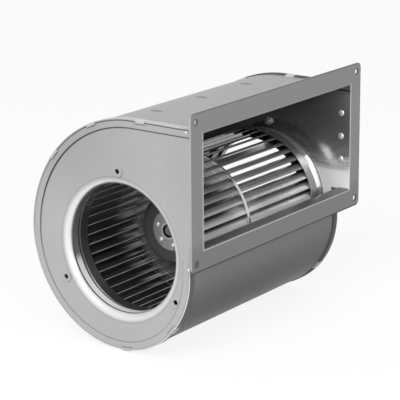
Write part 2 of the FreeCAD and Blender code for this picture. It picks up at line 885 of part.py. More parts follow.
def bearing_balls():
    """The balls of both bearings."""
    body = new_body("bearing_balls")
    balls = []
    for start in (size["bearing_front"], size["bearing_rear"]):
        ball = body.newObject("PartDesign::AdditiveSphere", "bearing_ball")
        ball.setExpression("Radius", size["ball_radius"].formula)
        ball.AttachmentSupport = [(origin_feature(body, "XY_Plane"), "")]
        ball.MapMode = "FlatFace"
        middle = start + size["bearing_width"] / 2
        ball.setExpression("AttachmentOffset.Base.x", middle.formula)
        ball.setExpression("AttachmentOffset.Base.y", size["ball_circle"].formula)
        balls.append(ball)
    ring_of(balls, size["ball_count"])


def preload_washer():
    """The spring washer behind the front bearing's outer ring."""
    start = size["bearing_front"] + size["bearing_width"]
    end = start + size["washer_thick"]
    inner = size["bearing_radius"] - size["tube_wall"] + size["seat_gap"]
    revolve("preload_washer", [
        (start, inner), (start, size["bearing_radius"]),
        (end, size["bearing_radius"]), (end, inner),
    ])


# Rotor

def rotor_bell():
    """The drawn steel bell that turns round the stator."""
    face = size["bell_face"]
    wall = size["bell_wall"]
    corner = size["bell_corner"]
    outer = size["bell_radius"]
    body = revolve("rotor_bell", [
        (face, size["hub_radius"] + size["seat_gap"]),
        (face, outer - corner),
        (face + corner, outer, corner, -1),
        (size["bell_mouth"], outer),
        (size["bell_mouth"], bell_inner),
        (face + corner, bell_inner),
        (face + wall, outer - corner, corner - wall, 1),
        (face + wall, size["hub_radius"] + size["seat_gap"]),
    ])
    rivet_holes(body, face, wall)


def rivet_holes(body, start, depth):
    """Six holes for the hub rivets."""
    holes = new_sketch(body, "YZ_Plane", start)
    for index in range(6):
        place = polar(size["hub_rivet_circle"], size["hub_rivet_turn"] + 60 * index)
        circle(holes, *place, size["hub_rivet"] + size["race_gap"])
    body.Tip = add_feature("Pocket", holes, depth, True)


def magnet_ring():
    """The ring magnet inside the bell."""
    inner = magnet_radius - size["magnet_wall"]
    revolve("magnet_ring", [
        (size["magnet_start"], inner), (size["magnet_start"], magnet_radius),
        (size["magnet_end"], magnet_radius), (size["magnet_end"], inner),
    ])


def rotor_hub():
    """The turned hub behind the bell's face, with its nose through it."""
    behind = size["bell_face"] + size["bell_wall"]
    nose = size["bell_face"] - size["hub_nose"]
    recess = nose + size["hub_recess"]
    back = behind + size["bell_wall"]
    bore = size["shaft_radius"] + size["seat_gap"]
    step = size["bearing_front"] - size["bell_wall"]
    body = revolve("rotor_hub", [
        (nose, hub_bore),
        (nose, size["hub_radius"]),
        (behind, size["hub_radius"]),
        (behind, size["hub_flange"]),
        (back, size["hub_flange"]),
        (back, size["hub_radius"] + sheet),
        (step, size["hub_radius"] + sheet),
        (step, size["ball_circle"] - size["race_land"]),
        (size["bearing_front"], size["ball_circle"] - size["race_land"]),
        (size["bearing_front"], bore),
        (recess, bore),
        (recess, hub_bore),
    ])
    rivet_holes(body, behind, back - behind)


def hub_plate():
    """The bright clamping plate on the bell's face."""
    start = size["bell_face"] - size["hub_plate"]
    inner = size["hub_radius"] + size["seat_gap"]
    body = revolve("hub_plate", [
        (start, inner), (start, size["hub_plate_radius"]),
        (size["bell_face"], size["hub_plate_radius"]), (size["bell_face"], inner),
    ])
    rivet_holes(body, start, size["hub_plate"])


def hub_rivets():
    """Six rivets through plate, bell and hub."""
    body = new_body("hub_rivets")
    front = size["bell_face"] - size["hub_plate"]
    back = size["bell_face"] + size["bell_wall"] * 2
    head = size["rivet_head"]
    pads = []
    for start, end, radius in (
        (front, back, size["hub_rivet"]),
        (front - head, front, size["rivet_head_radius"]),
        (back, back + head / 2, size["rivet_head_radius"]),
    ):
        sketch = new_sketch(body, "YZ_Plane", start)
        circle(sketch, *polar(size["hub_rivet_circle"], size["hub_rivet_turn"]), radius)
        pads.append(add_feature("Pad", sketch, end - start))
    ring_of(pads, 6)


def clip_places():
    front = size["bell_face"] - size["hub_nose"] + size["hub_recess"] - size["clip_thick"]
    rear = size["bearing_rear"] + size["bearing_width"]
    return front, rear


def rotor_shaft():
    """The ground shaft with a clip groove at each end."""
    front = size["bell_face"] - size["hub_nose"] + size["rivet_head"] / 2
    groove = size["shaft_radius"] - size["clip_thick"] / 2
    outer = size["shaft_radius"]
    points = [(front, ZERO), (front, outer)]
    for start in clip_places():
        end = start + size["clip_thick"]
        points += [(start, outer), (start, groove), (end, groove), (end, outer)]
    points += [(size["shaft_rear"], outer), (size["shaft_rear"], ZERO)]
    revolve("rotor_shaft", points)


def shaft_clip(label, start):
    """An open retaining ring in the shaft's groove."""
    inner = size["shaft_radius"] - size["clip_thick"] / 2
    outer = size["shaft_radius"] + size["clip_thick"]
    end = start + size["clip_thick"]
    body = revolve(label, [(start, inner), (start, outer), (end, outer), (end, inner)])
    gap = new_sketch(body, "YZ_Plane", start)
    rectangle(gap, ZERO, outer * 2, -size["clip_thick"], size["clip_thick"])
    add_feature("Pocket", gap, size["clip_thick"], True)


def impeller_disc():
    """The disc that carries the blades, with a neck on the bell and a narrow rim."""
    bore = size["bell_radius"] + size["seat_gap"]
    neck = bore + size["disc_plate"]
    rim_low = size["wheel_radius"] - size["ring_skin"]
    rim_left = size["disc_place"] - size["disc_rim"] / 2
    rim_right = size["disc_place"] + size["disc_rim"] / 2
    revolve("impeller_disc", [
        (disc_right - size["disc_neck"], bore),
        (disc_right - size["disc_neck"], neck),
        (disc_left, neck),
        (disc_left, rim_low),
        (rim_left, rim_low),
        (rim_left, size["wheel_radius"]),
        (rim_right, size["wheel_radius"]),
        (rim_right, rim_low),
        (disc_right, rim_low),
        (disc_right, bore),
    ])


def end_ring(label, side):
    """A rolled channel that caps the blade ends."""
    end = wheel_half * side
    bottom = (wheel_half - size["ring_skin"]) * side
    mouth = (wheel_half - size["ring_width"]) * side
    skin = size["ring_skin"]
    outer = size["wheel_radius"]
    roll = skin * 2
    roll_x = (wheel_half - roll) * side
    revolve(label, [
        (end, outer - roll),
        (roll_x, outer, roll, side),
        (mouth, outer),
        (mouth, outer - skin),
        (bottom, outer - skin),
        (bottom, wheel_inner + skin),
        (mouth, wheel_inner + skin),
        (mouth, wheel_inner),
        (roll_x, wheel_inner),
        (end, wheel_inner + roll, roll, side),
    ])


def blade_set(label, start, end):
    """Forward-curved blades from the disc to the bottom of an end ring."""
    body = new_body(label)
    lean_in = size["blade_lean_in"]
    lean_out = size["blade_lean_out"]
    depth = size["ring_depth"] - (size["ring_skin"] + size["blade_gap"]) * 2 - size["blade_skin"]
    camber = depth / (sine(lean_out) - sine(lean_in))
    outer = camber + size["blade_skin"] / 2
    inner = camber - size["blade_skin"] / 2
    across = camber * (cosine(lean_in) + cosine(lean_out)) / 2

    def edge(radius, lean):
        """A corner of the blade, that far from the middle of its curve."""
        along = blade_start + radius * sine(lean) - inner * sine(lean_in)
        return along, across - radius * cosine(lean)

    sketch = new_sketch(body, "YZ_Plane", start)
    outline(sketch, [
        edge(outer, lean_in),
        (*edge(outer, lean_out), outer, 1),
        edge(inner, lean_out),
        (*edge(inner, lean_in), inner, -1),
    ])
    ring_of([add_feature("Pad", sketch, end - start)], size["blade_count"])


outlet_flange()
side_wall("left_side_wall", -1)
side_wall("right_side_wall", 1)
scroll_wrap()
cutoff_tongue()
tongue_rivets()
collar_rivets("left_collar_rivets", -1)
collar_rivets("right_collar_rivets", 1)
motor_bracket()
bracket_screws()
bracket_nuts()
motor_carrier()
motor_screws()
lead_grommet()
bearing_cap()
stator_core()
stator_insulator("front_insulator", size["core_start"] - size["insulator"])
stator_insulator("rear_insulator", size["core_end"])
stator_coils()
circuit_board()
board_components()
bearing_ring("front_bearing_outer", size["bearing_front"], True)
bearing_ring("rear_bearing_outer", size["bearing_rear"], True)
bearing_ring("front_bearing_inner", size["bearing_front"], False)
bearing_ring("rear_bearing_inner", size["bearing_rear"], False)
bearing_balls()
preload_washer()
rotor_bell()
magnet_ring()
rotor_hub()
hub_plate()
hub_rivets()
rotor_shaft()
shaft_clip("front_shaft_clip", clip_places()[0])
shaft_clip("rear_shaft_clip", clip_places()[1])
impeller_disc()
end_ring("left_end_ring", -1)
end_ring("right_end_ring", 1)
blade_set("left_blades", -wheel_half + size["ring_skin"], disc_left)
blade_set("right_blades", disc_right, wheel_half - size["ring_skin"])

doc.recompute()

for item in doc.Objects:
    if "Invalid" in item.State or "Error" in item.State:
        raise RuntimeError(f"{item.Label}: {item.State}")

os.makedirs("parts", exist_ok=True)
for piece in PIECES:
    if piece.Shape.isNull() or not piece.Shape.isValid():
        raise RuntimeError(f"{piece.Label} has no valid shape")
    piece.Shape.exportStep(f"parts/{piece.Label}.step")
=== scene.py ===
import math

import bmesh
import bpy
from mathutils import Matrix, Vector


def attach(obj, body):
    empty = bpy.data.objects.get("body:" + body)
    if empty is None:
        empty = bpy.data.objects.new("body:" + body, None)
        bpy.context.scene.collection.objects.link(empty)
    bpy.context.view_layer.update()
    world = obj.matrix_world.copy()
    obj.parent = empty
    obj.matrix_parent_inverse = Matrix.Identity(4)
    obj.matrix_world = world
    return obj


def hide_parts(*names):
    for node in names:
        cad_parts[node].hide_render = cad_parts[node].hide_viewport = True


# Looks for the double-inlet blower. Metres, with the origin in the middle of the outlet
# flange's front face: air leaves towards -Y, the shaft runs along X and Z is up.

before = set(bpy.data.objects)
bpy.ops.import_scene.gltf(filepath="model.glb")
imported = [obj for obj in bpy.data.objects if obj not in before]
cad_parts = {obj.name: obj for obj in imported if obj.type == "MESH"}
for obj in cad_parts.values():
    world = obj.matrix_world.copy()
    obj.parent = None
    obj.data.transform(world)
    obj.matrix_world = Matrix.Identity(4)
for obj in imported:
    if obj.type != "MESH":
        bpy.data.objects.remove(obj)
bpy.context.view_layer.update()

SHAFT_Y = 0.0885
SHAFT_Z = -0.0654
RIM_FACE = 0.113
FLOOR = -0.1549
DISC_PLACE = -0.013
BLADES = 43
HUB_RIVET_CIRCLE = 0.0135

# Bands of a side wall, as distances from the casing's middle along the shaft.
NOZZLE_STARTS = 0.0980
BEND_STARTS = 0.1068
FACE_STARTS = 0.1108
INNER_FACE_ENDS = 0.1118
RIM_STARTS = 0.1126
LAP_ENDS = 0.1128

# The scroll's outline: three arcs and the straight top, as centre and radius in Y and Z.
LOW_ARC = (0.0915, -0.0764, 0.0773)
BACK_ARC = (0.0915, -0.0619, 0.0918)
TOP_ARC = (0.0720, -0.0619, 0.1113)
SCROLL_FRONT = 0.0142
SCROLL_TOP = 0.0494
JOGGLE = -0.0065

# Where the seam's lugs sit: the arc and the angle on it, or the place along the top.
SEAM_LUGS = (("top", 0.0630), ("arc", TOP_ARC, 66.8), ("arc", TOP_ARC, 39.4),
             ("arc", LOW_ARC, -97.6), ("arc", LOW_ARC, -140.0))


# Shader helpers

class Wire:
    """A shader socket that Python sums can use."""

    def __init__(self, nodes, socket):
        self.nodes = nodes
        self.socket = socket

    def sum(self, operation, first, second=0.0):
        return self.nodes.node("Math", {"operation": operation}, {0: first, 1: second})

    def __add__(self, other):
        return self.sum("ADD", self, other)

    __radd__ = __add__

    def __sub__(self, other):
        return self.sum("SUBTRACT", self, other)

    def __rsub__(self, other):
        return self.sum("SUBTRACT", other, self)

    def __mul__(self, other):
        return self.sum("MULTIPLY", self, other)

    __rmul__ = __mul__

    def __abs__(self):
        return self.sum("ABSOLUTE", self)

    def __lt__(self, other):
        return self.sum("LESS_THAN", self, other)

    def __gt__(self, other):
        return self.sum("GREATER_THAN", self, other)

    def at_most(self, other):
        return self.sum("MINIMUM", self, other)

    def at_least(self, other):
        return self.sum("MAXIMUM", self, other)

    def root(self):
        return self.sum("SQRT", self)


class Nodes:
    """A node tree, filled one node at a time."""

    def __init__(self, tree):
        self.tree = tree

    def node(self, kind, settings, sockets, output=0):
        """Adds a node: its settings first, then the values or links of its sockets."""
        made = self.tree.nodes.new("ShaderNode" + kind)
        for name, value in settings.items():
            setattr(made, name, value)
        for name, value in sockets.items():
            self.plug(made.inputs[name], value)
        return Wire(self, made.outputs[output])

    def plug(self, socket, value):
        if isinstance(value, Wire):
            self.tree.links.new(value.socket, socket)
        else:
            socket.default_value = value

    def seen(self):
        """1 for what the camera sees, directly or in metal or glass, and 0 for diffuse light."""
        camera, glossy, through = [self.node("LightPath", {}, {}, "Is %s Ray" % kind)
                                   for kind in ("Camera", "Glossy", "Transmission")]
        return (camera + glossy + through).at_most(1.0)


class Finish(Nodes):
    """One material."""

    def __init__(self, name):
        self.material = bpy.data.materials.new(name)
        self.material.use_nodes = True
        super().__init__(self.material.node_tree)
        self.shader = self.tree.nodes["Principled BSDF"]

    def surface(self, **sockets):
        """Sets the main shader's sockets, such as base_color and roughness."""
        for name, value in sockets.items():
            self.plug(self.shader.inputs[SOCKETS[name]], value)
        return self.material

    def place(self):
        return self.node("TexCoord", {}, {}, "Object")

    def split(self, vector):
        """A vector's X, Y and Z as three wires."""
        parts = self.node("SeparateXYZ", {}, {"Vector": vector})
        return [Wire(self, socket) for socket in parts.socket.node.outputs]

    def axes(self):
        return self.split(self.place())

    def stretched(self, scale):
        """The object's own coordinates, scaled along each axis."""
        return self.node("Mapping", {}, {"Vector": self.place(), "Scale": scale})

    def facing_out(self, y, z):
        """1 where the surface faces away from the shaft, and 0 where it faces the shaft."""
        _, facing_y, facing_z = self.split(self.node("TexCoord", {}, {}, "Normal"))
        return facing_y * (y - SHAFT_Y) + facing_z * (z - SHAFT_Z) > 0.0

    def noise(self, vector, scale, detail):
        return self.node("TexNoise", {}, {
            "Vector": vector, "Scale": scale, "Detail": detail}, "Fac")

    def spread(self, value, low, high, to_low=0.0, to_high=1.0):
        return self.node("MapRange", {"interpolation_type": "SMOOTHSTEP"}, {
            "Value": value, "From Min": low, "From Max": high,
            "To Min": to_low, "To Max": to_high})

    def line(self, value, middle, half):
        """A soft-edged line where the value passes its middle."""
        return self.spread(abs(value - middle), half * 0.4, half * 1.6, 1.0, 0.0)

    def spot(self, first, second, place, half):
        """A soft-edged round spot in the plane of two axes."""
        away = distance(first - place[0], second - place[1])
        return self.spread(away, half * 0.7, half * 1.3, 1.0, 0.0)

    def tint(self, factor, first, second):
        return self.node("Mix", {"data_type": "RGBA"}, {
            0: factor, 6: shade(first), 7: shade(second)}, 2)

    def bump(self, height, depth, under=None):
        sockets = {"Height": height, "Distance": depth}
        if under:
            sockets["Normal"] = under
        return self.node("Bump", {}, sockets)


SOCKETS = {
    "base_color": "Base Color", "metallic": "Metallic", "roughness": "Roughness",
    "normal": "Normal", "specular": "Specular IOR Level",
}


def shade(colour):
    return colour if isinstance(colour, Wire) else (*colour, 1)


def grey(level):
    return (level, level, level)


def distance(first, second):
    return (first * first + second * second).root()


def off_shaft(y, z):
    return distance(y - SHAFT_Y, z - SHAFT_Z)


def off_scroll(y, z):
    """How far a point lies outside the scroll's outline."""
    in_front = y < LOW_ARC[0]
    low = z < BACK_ARC[1]
    front = distance(y - LOW_ARC[0], (z - LOW_ARC[1]).at_most(0.0)) - LOW_ARC[2]
    back = distance(y - BACK_ARC[0], z - BACK_ARC[1]) - BACK_ARC[2]
    top = distance((y - TOP_ARC[0]).at_least(0.0), z - TOP_ARC[1]) - TOP_ARC[2]
    below = in_front * front + (1 - in_front) * back
    return low * below + (1 - low) * top


# Metals of the casing

class SheetMetal(Finish):
    """Zinc-coated sheet: soft cloudy tone and fine rolling lines, with marks added to it."""

    def __init__(self, name, level, roughness, metallic):
        super().__init__(name)
        cloud = self.noise(self.place(), 14.0, 4.0)
        fine = self.noise(self.place(), 160.0, 3.0)
        lines = self.noise(self.stretched((1500.0, 60.0, 1500.0)), 1.0, 2.0)
        tone = (cloud - 0.5) * 0.5 + (fine - 0.5) * 0.16 + (lines - 0.5) * 0.06 + 0.5
        self.colour = self.tint(tone, grey(level * 0.86), grey(level * 1.12))
        self.roughness = (cloud - 0.5) * 0.1 + (fine - 0.5) * 0.06 + roughness
        self.metallic = metallic
        self.shape = self.bump(lines, 0.000004)

    def mark(self, mask, level):
        """Turns the sheet to a grey level where the mask is 1."""
        self.colour = self.tint(mask, self.colour, grey(level))

    def press(self, height, depth):
        self.shape = self.bump(height, depth, under=self.shape)

    def done(self):
        return self.surface(base_color=self.colour, metallic=self.metallic,
                            roughness=self.roughness, normal=self.shape)


def lug_place(lug):
    """A lug's point on the outline, in Y and Z."""
    if lug[0] == "top":
        return lug[1], SCROLL_TOP
    middle_y, middle_z, radius = lug[1]
    turn = math.radians(lug[2])
    return middle_y + radius * math.cos(turn), middle_z + radius * math.sin(turn)


def side_wall_steel(name, level, roughness, metallic, lap_shade, with_lit_patch=False):
    """A side wall: its joggled rim, drawn nozzle and lapped edge, with painted shade along its
    lines and lap, painted shadows under the lugs and painted light on the nozzle.
    """
    steel = SheetMetal(name, level, roughness, metallic)
    x, y, z = steel.axes()
    across = abs(x)
    outside = off_scroll(y, z)
    shaft = off_shaft(y, z)
    face = across > FACE_STARTS
    rim = across > RIM_STARTS
    steel.press(steel.spread(outside, JOGGLE - 0.0014, JOGGLE + 0.0010) * face, 0.0007)
    # Painted shade: a dark line in the joggle's inner corner, darker towards the top.
    joggle_shade = steel.spread(z, -0.09, 0.01, 0.95 * 0.45, 0.95)
    steel.mark(steel.line(outside, JOGGLE - 0.0003, 0.0005) * face * joggle_shade, 0.015)
    # Painted shade: a dark line in the gap along the rim's outer edge, darker towards the top.
    rim_edge_shade = steel.spread(z, -0.03, 0.03, 0.3, 0.85)
    steel.mark(steel.line(outside, -0.0006, 0.0004) * rim * rim_edge_shade, 0.03)
    # Painted shade: a faint dark line where the nozzle's bend leaves the face.
    steel.mark(steel.line(shaft, 0.0640, 0.0003) * face * 0.35, 0.1)
    shaded_low_side = steel.spread(z, -0.060, -0.085)
    drawn = steel.spread(shaft, 0.0592, 0.0638, 1.0, 0.0) * (across > NOZZLE_STARTS)
    bend = drawn * (across > BEND_STARTS)
    throat = drawn * (across < BEND_STARTS)
    # Painted highlight: the drawn nozzle painted near white.
    steel.mark(drawn * 0.9, 0.92)
    # Painted light: the lower part of the bend painted lighter than the wall and made matte.
    lit_low_bend = bend * steel.spread(z, -0.080, -0.104)
    steel.mark(lit_low_bend, level * 1.35)
    # Painted shade: the throat's upper part painted near black.
    steel.mark(throat * steel.spread(z, -0.088, -0.079) * 0.85, 0.06)
    # Painted shade: the upper face darker, more so towards the back.
    shade_depth = steel.spread(y, 0.04, 0.15) * 0.14 + 0.1
    steel.mark(steel.spread(z, -0.05, 0.02) * face * shade_depth, 0.05)
    # Painted shade: a dark line round the throat, on its low side.
    steel.mark(steel.line(across, 0.1064, 0.0007) * drawn * shaded_low_side * 0.95, 0.02)
    steel.metallic = (bend - lit_low_bend) * (0.8 - metallic) + metallic
    steel.roughness = steel.roughness - drawn * 0.04 + lit_low_bend * 0.14
    for lug in SEAM_LUGS:
        # Painted shadow: a dark line on the rim under each lug.
        lug_shadow = steel.spot(y, z, lug_place(lug), 0.0062)
        steel.mark(steel.line(outside, -0.0021, 0.0004) * lug_shadow * rim * 0.75, 0.06)
    # Painted shade: the lap painted near black and matte, by given amounts low and high on the
    # wall.
    low_lap_shade, high_lap_shade = lap_shade
    lap_shade_mask = steel.spread(z, -0.06, 0.0, low_lap_shade, high_lap_shade)
    lap_shade_mask = (outside > 0.0002) * (across < LAP_ENDS) * lap_shade_mask
    steel.mark(lap_shade_mask, 0.015)
    steel.metallic = (1 - lap_shade_mask) * steel.metallic
    steel.roughness = steel.roughness + lap_shade_mask * 0.4
    if with_lit_patch:
        paint_lit_patch(steel, y, z, face * (across < INNER_FACE_ENDS) * (outside < -0.001))
    return steel.done()


def paint_lit_patch(steel, y, z, inner_face):
    """Painted light: a near-white, matte patch low on a wall's inner face, behind the outlet."""
    streaks = steel.noise(steel.stretched((20.0, 20.0, 160.0)), 1.0, 3.0)
    height = z - (streaks - 0.5) * 0.03
    painted_light = steel.spread(height, -0.017, -0.038) * steel.spread(y, 0.085, 0.055) * inner_face
    steel.mark(painted_light, 0.95)
    steel.metallic = (1 - painted_light) * steel.metallic
    steel.roughness = steel.roughness + painted_light * 0.2


def wrap_steel():
    """The scroll's wrap: painted shade in a dark line beside each lapped edge, and the lower
    front painted darker as shade.
    """
    steel = SheetMetal("wrap_steel", 0.345, 0.40, 0.12)
    x, y, z = steel.axes()
    # Painted shade: the lower front darker.
    steel.mark(steel.spread(z, -0.055, -0.125) * steel.spread(y, 0.13, 0.08) * 0.92, 0.05)
    # Painted shade: a dark line along each lap's inner end.
    steel.mark(steel.line(abs(x), 0.1066, 0.0003) * 0.7, 0.08)
    steel.surface(specular=0.2)
    return steel.done()


def flange_steel():
    """The outlet flange: painted shade on the lower bar, a painted shadow line along its bottom
    edge, a dark line along its top edge, painted shade round the holes and painted highlights
    along the cut edges.
    """
    steel = SheetMetal("flange_steel", 0.265, 0.36, 0.15)
    x, y, z = steel.axes()
    front = y < 0.0004
    low_edge, top_edge, near_edge = -0.0661, 0.0662, -0.1279
    hole_across, hole_up, hole_edge = 0.121, 0.059, 0.0028
    sill, jamb = -0.0498, 0.1124
    off_hole = distance(abs(x) - hole_across, abs(z) - hole_up)
    # Painted shade: the lower bar darker.
    steel.mark(steel.spread(z, -0.038, -0.052) * front * 0.28, 0.05)
    # Painted shadow: a dark line along the bottom edge.
    steel.mark(steel.line(z, low_edge, 0.0007) * front * 0.95, 0.02)
    steel.mark(steel.line(z, top_edge, 0.0005) * front * 0.75, 0.06)
    # Painted shade: a dark ring at each hole's wall.
    steel.mark(steel.line(off_hole, hole_edge, 0.0004) * 0.8, 0.05)
    # Painted highlights: light lines on the opening's sill and jambs and on the near edge.
    steel.mark(steel.line(z, sill, 0.0004) * (abs(x) < 0.1125) * front * 0.8, 0.75)
    steel.mark(steel.line(abs(x), jamb, 0.0004) * (abs(z) < 0.0497) * front * 0.5, 0.7)
    steel.mark(steel.line(x, near_edge, 0.0005) * 0.5, 0.6)
    return steel.done()


def plain_sheet(name, level, roughness, metallic):
    return SheetMetal(name, level, roughness, metallic).done()


def zinc_plate(name, level, roughness, metallic=0.7):
    """Zinc-plated small parts."""
    zinc = Finish(name)
    cloud = zinc.noise(zinc.place(), 420.0, 3.0)
    return zinc.surface(
        base_color=zinc.tint(cloud, grey(level * 0.82), grey(level)),
        metallic=metallic,
        roughness=(cloud - 0.5) * 0.2 + roughness,
    )


# Metals of the wheel

def blade_steel():
    """Blades: dark hollow faces, outer faces painted paler as lit sides, painted highlights on
    the cut edges and the feet by the disc, and painted shade at the ends.
    """
    steel = SheetMetal("blade_steel", 0.18, 0.18, 0.85)
    x, y, z = steel.axes()
    streaks = steel.noise(steel.stretched((14.0, 260.0, 260.0)), 1.0, 2.0)
    by_disc = steel.spread(abs(x - DISC_PLACE), 0.006, 0.034, 1.0, 0.0)
    foot = steel.spread(streaks, 0.42, 0.62) * by_disc
    # Painted highlight: streaks on the blades' feet by the disc.
    steel.mark(foot * 0.9, 0.8)
    shaft = off_shaft(y, z)
    # Painted highlight: the blades' inner and outer edges painted light.
    cut = (shaft < 0.0590) + (shaft > 0.0649) * 0.35
    steel.mark(cut * 0.85, 0.75)
    # Painted shade: the blades' ends dark near the end rings.
    steel.mark(steel.spread(abs(x), 0.0832, 0.0852) * 0.8, 0.03)
    # Painted light: the outer faces paler and duller than the hollow faces.
    outer = steel.spread(shaft, 0.0605, 0.0638) * steel.facing_out(y, z)
    steel.mark(outer * 0.55, 0.5)
    inner_foot = foot * (1 - outer)
    steel.metallic = 0.85 - (cut * 0.5 + outer * 0.35 + inner_foot * 0.6).at_most(0.7)
    steel.roughness = steel.roughness + outer * 0.16
    return steel.done()


def disc_steel():
    """The carrying disc: painted highlights on its rim and in a line inside the blades' feet."""
    steel = SheetMetal("disc_steel", 0.34, 0.26, 0.8)
    _, y, z = steel.axes()
    shaft = off_shaft(y, z)
    # Painted highlights: the rim and a line inside the blades' feet.
    steel.mark((shaft > 0.0650) * 0.85, 0.7)
    steel.mark(steel.line(shaft, 0.0578, 0.0005) * 0.6, 0.65)
    return steel.done()


def ring_steel():
    """End rings: rolled over the blade tips, with a dimple at every blade, painted shade in the
    dimples and on the inner edge.
    """
    steel = SheetMetal("ring_steel", 0.36, 0.28, 0.75)
    _, y, z = steel.axes()
    shaft = off_shaft(y, z)
    angle = steel.node("Math", {"operation": "ARCTAN2"}, {0: z - SHAFT_Z, 1: y - SHAFT_Y})
    tooth = steel.node("Math", {"operation": "SINE"}, {0: angle * BLADES})
    band = steel.line(shaft, 0.0620, 0.0016)
    steel.press(steel.spread(tooth, 0.2, 0.9) * band, -0.0005)
    # Painted shade: the dimples darker.
    steel.mark(steel.spread(tooth, 0.5, 0.9) * band * 0.5, 0.12)
    # Painted shade: the inner edge near black.
    steel.mark((shaft < 0.0585) * 0.75, 0.05)
    return steel.done()


# Finishes of the motor

def turned_steel(name, level, roughness):
    """Bright steel with fine turning lines about the shaft."""
    steel = Finish(name)
    grain = steel.noise(steel.stretched((2600.0, 300.0, 300.0)), 1.0, 2.0)
    return steel.surface(
        base_color=steel.tint(grain, grey(level * 0.9), grey(level)),
        metallic=0.9,
        roughness=(grain - 0.5) * 0.12 + roughness,
        normal=steel.bump(grain, 0.00001),
    )


def hub_steel():
    """The hub's nose: turned bright, with its recess and a line round it painted near black as
    shade.
    """
    steel = Finish("hub_steel")
    _, y, z = steel.axes()
    shaft = off_shaft(y, z)
    grain = steel.noise(steel.stretched((2600.0, 300.0, 300.0)), 1.0, 2.0)
    # Painted shade: the recess and a line round it near black.
    recess = (steel.line(shaft, 0.0056, 0.0005) + (shaft < 0.0053)).at_most(1.0)
    return steel.surface(
        base_color=steel.tint(recess, steel.tint(grain, grey(0.5), grey(0.6)), grey(0.03)),
        metallic=0.8,
        roughness=(grain - 0.5) * 0.12 + 0.32,
        normal=steel.bump(grain, 0.00001),
    )


def bell_paint():
    """Dark satin paint with a fine orange-peel surface."""
    paint = Finish("bell_paint")
    peel = paint.noise(paint.place(), 900.0, 2.0)
    cloud = paint.noise(paint.place(), 60.0, 3.0)
    return paint.surface(
        base_color=paint.tint(cloud, grey(0.055), grey(0.08)),
        metallic=0.2,
        roughness=(cloud - 0.5) * 0.1 + 0.42,
        normal=paint.bump(peel, 0.00002),
    )


def cast_aluminium():
    """Sand-grained die casting."""
    alloy = Finish("cast_aluminium")
    grain = alloy.noise(alloy.place(), 1100.0, 3.0)
    cloud = alloy.noise(alloy.place(), 90.0, 3.0)
    return alloy.surface(
        base_color=alloy.tint(cloud, grey(0.42), grey(0.52)),
        metallic=0.6,
        roughness=(cloud - 0.5) * 0.15 + 0.5,
        normal=alloy.bump(grain, 0.00005),
    )


def plain_grain(name, dark, light, metallic, roughness, scale):
    """A hard material with a slight grain, for the motor's inner pieces."""
    made = Finish(name)
    grain = made.noise(made.place(), scale, 3.0)
    return made.surface(
        base_color=made.tint(grain, dark, light),
        metallic=metallic,
        roughness=(grain - 0.5) * 0.15 + roughness,
        normal=made.bump(grain, 0.00002),
    )


def laminated_steel():
    """Stacked core sheets: thin lines across the shaft."""
    core = Finish("laminated_steel")
    lines = core.noise(core.stretched((2200.0, 20.0, 20.0)), 1.0, 1.0)
    return core.surface(
        base_color=core.tint(lines, grey(0.16), grey(0.36)),
        metallic=0.7,
        roughness=(lines - 0.5) * 0.2 + 0.45,
        normal=core.bump(lines, 0.00008),
    )


def wound_copper():
    """Enamelled wire: close turns along the coil."""
    coil = Finish("wound_copper")
    turns = coil.node("TexWave", {"wave_type": "BANDS", "bands_direction": "Y"}, {
        "Vector": coil.place(), "Scale": 420.0, "Distortion": 1.5}, "Fac")
    return coil.surface(
        base_color=coil.tint(turns, (0.24, 0.08, 0.03), (0.62, 0.26, 0.1)),
        metallic=0.7,
        roughness=turns * 0.1 + 0.3,
        normal=coil.bump(turns, 0.0001),
    )


def dress(material, *names):
    for name in names:
        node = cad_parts[name]
        node.data.materials.clear()
        node.data.materials.append(material)


def dress_casing():
    dress(side_wall_steel("near_wall_steel", 0.485, 0.34, 0.15, (0.73, 0.0)), "left_side_wall")
    dress(side_wall_steel("far_wall_steel", 0.60, 0.2, 0.9, (0.85, 0.95), with_lit_patch=True),
          "right_side_wall")
    dress(wrap_steel(), "scroll_wrap")
    dress(plain_sheet("tongue_steel", 0.14, 0.38, 0.5), "cutoff_tongue")
    dress(flange_steel(), "outlet_flange")
    dress(plain_sheet("bracket_steel", 0.44, 0.38, 0.35), "motor_bracket")
    dress(zinc_plate("screw_zinc", 0.80, 0.28, 0.5), "bracket_screws", "bracket_nuts",
          "motor_screws", "tongue_rivets")


def dress_motor():
    dress(cast_aluminium(), "motor_carrier")
    dress(plain_grain("black_rubber", grey(0.02), grey(0.035), 0.0, 0.7, 700.0), "lead_grommet")
    dress(plain_grain("cap_plastic", grey(0.03), grey(0.045), 0.0, 0.5, 700.0), "bearing_cap")
    dress(laminated_steel(), "stator_core")
    dress(plain_grain("insulator_plastic", (0.72, 0.7, 0.62), (0.8, 0.78, 0.7), 0.0, 0.5, 400.0),
          "front_insulator", "rear_insulator")
    dress(wound_copper(), "stator_coils")
    dress(plain_grain("board_laminate", (0.02, 0.13, 0.06), (0.03, 0.17, 0.08), 0.0, 0.4, 500.0),
          "circuit_board")
    dress(plain_grain("component_plastic", grey(0.03), grey(0.06), 0.0, 0.45, 500.0),
          "board_components")
    dress(turned_steel("bearing_steel", 0.62, 0.2), "front_bearing_outer", "rear_bearing_outer",
          "front_bearing_inner", "rear_bearing_inner", "bearing_balls", "preload_washer")
    dress(bell_paint(), "rotor_bell")
    dress(plain_grain("magnet_ferrite", grey(0.07), grey(0.1), 0.1, 0.6, 300.0), "magnet_ring")
    dress(hub_steel(), "rotor_hub")
    dress(turned_steel("shaft_steel", 0.2, 0.3), "rotor_shaft")
    dress(zinc_plate("hub_plate_zinc", 0.40, 0.36), "hub_plate")
    dress(turned_steel("clip_steel", 0.12, 0.4), "front_shaft_clip", "rear_shaft_clip")


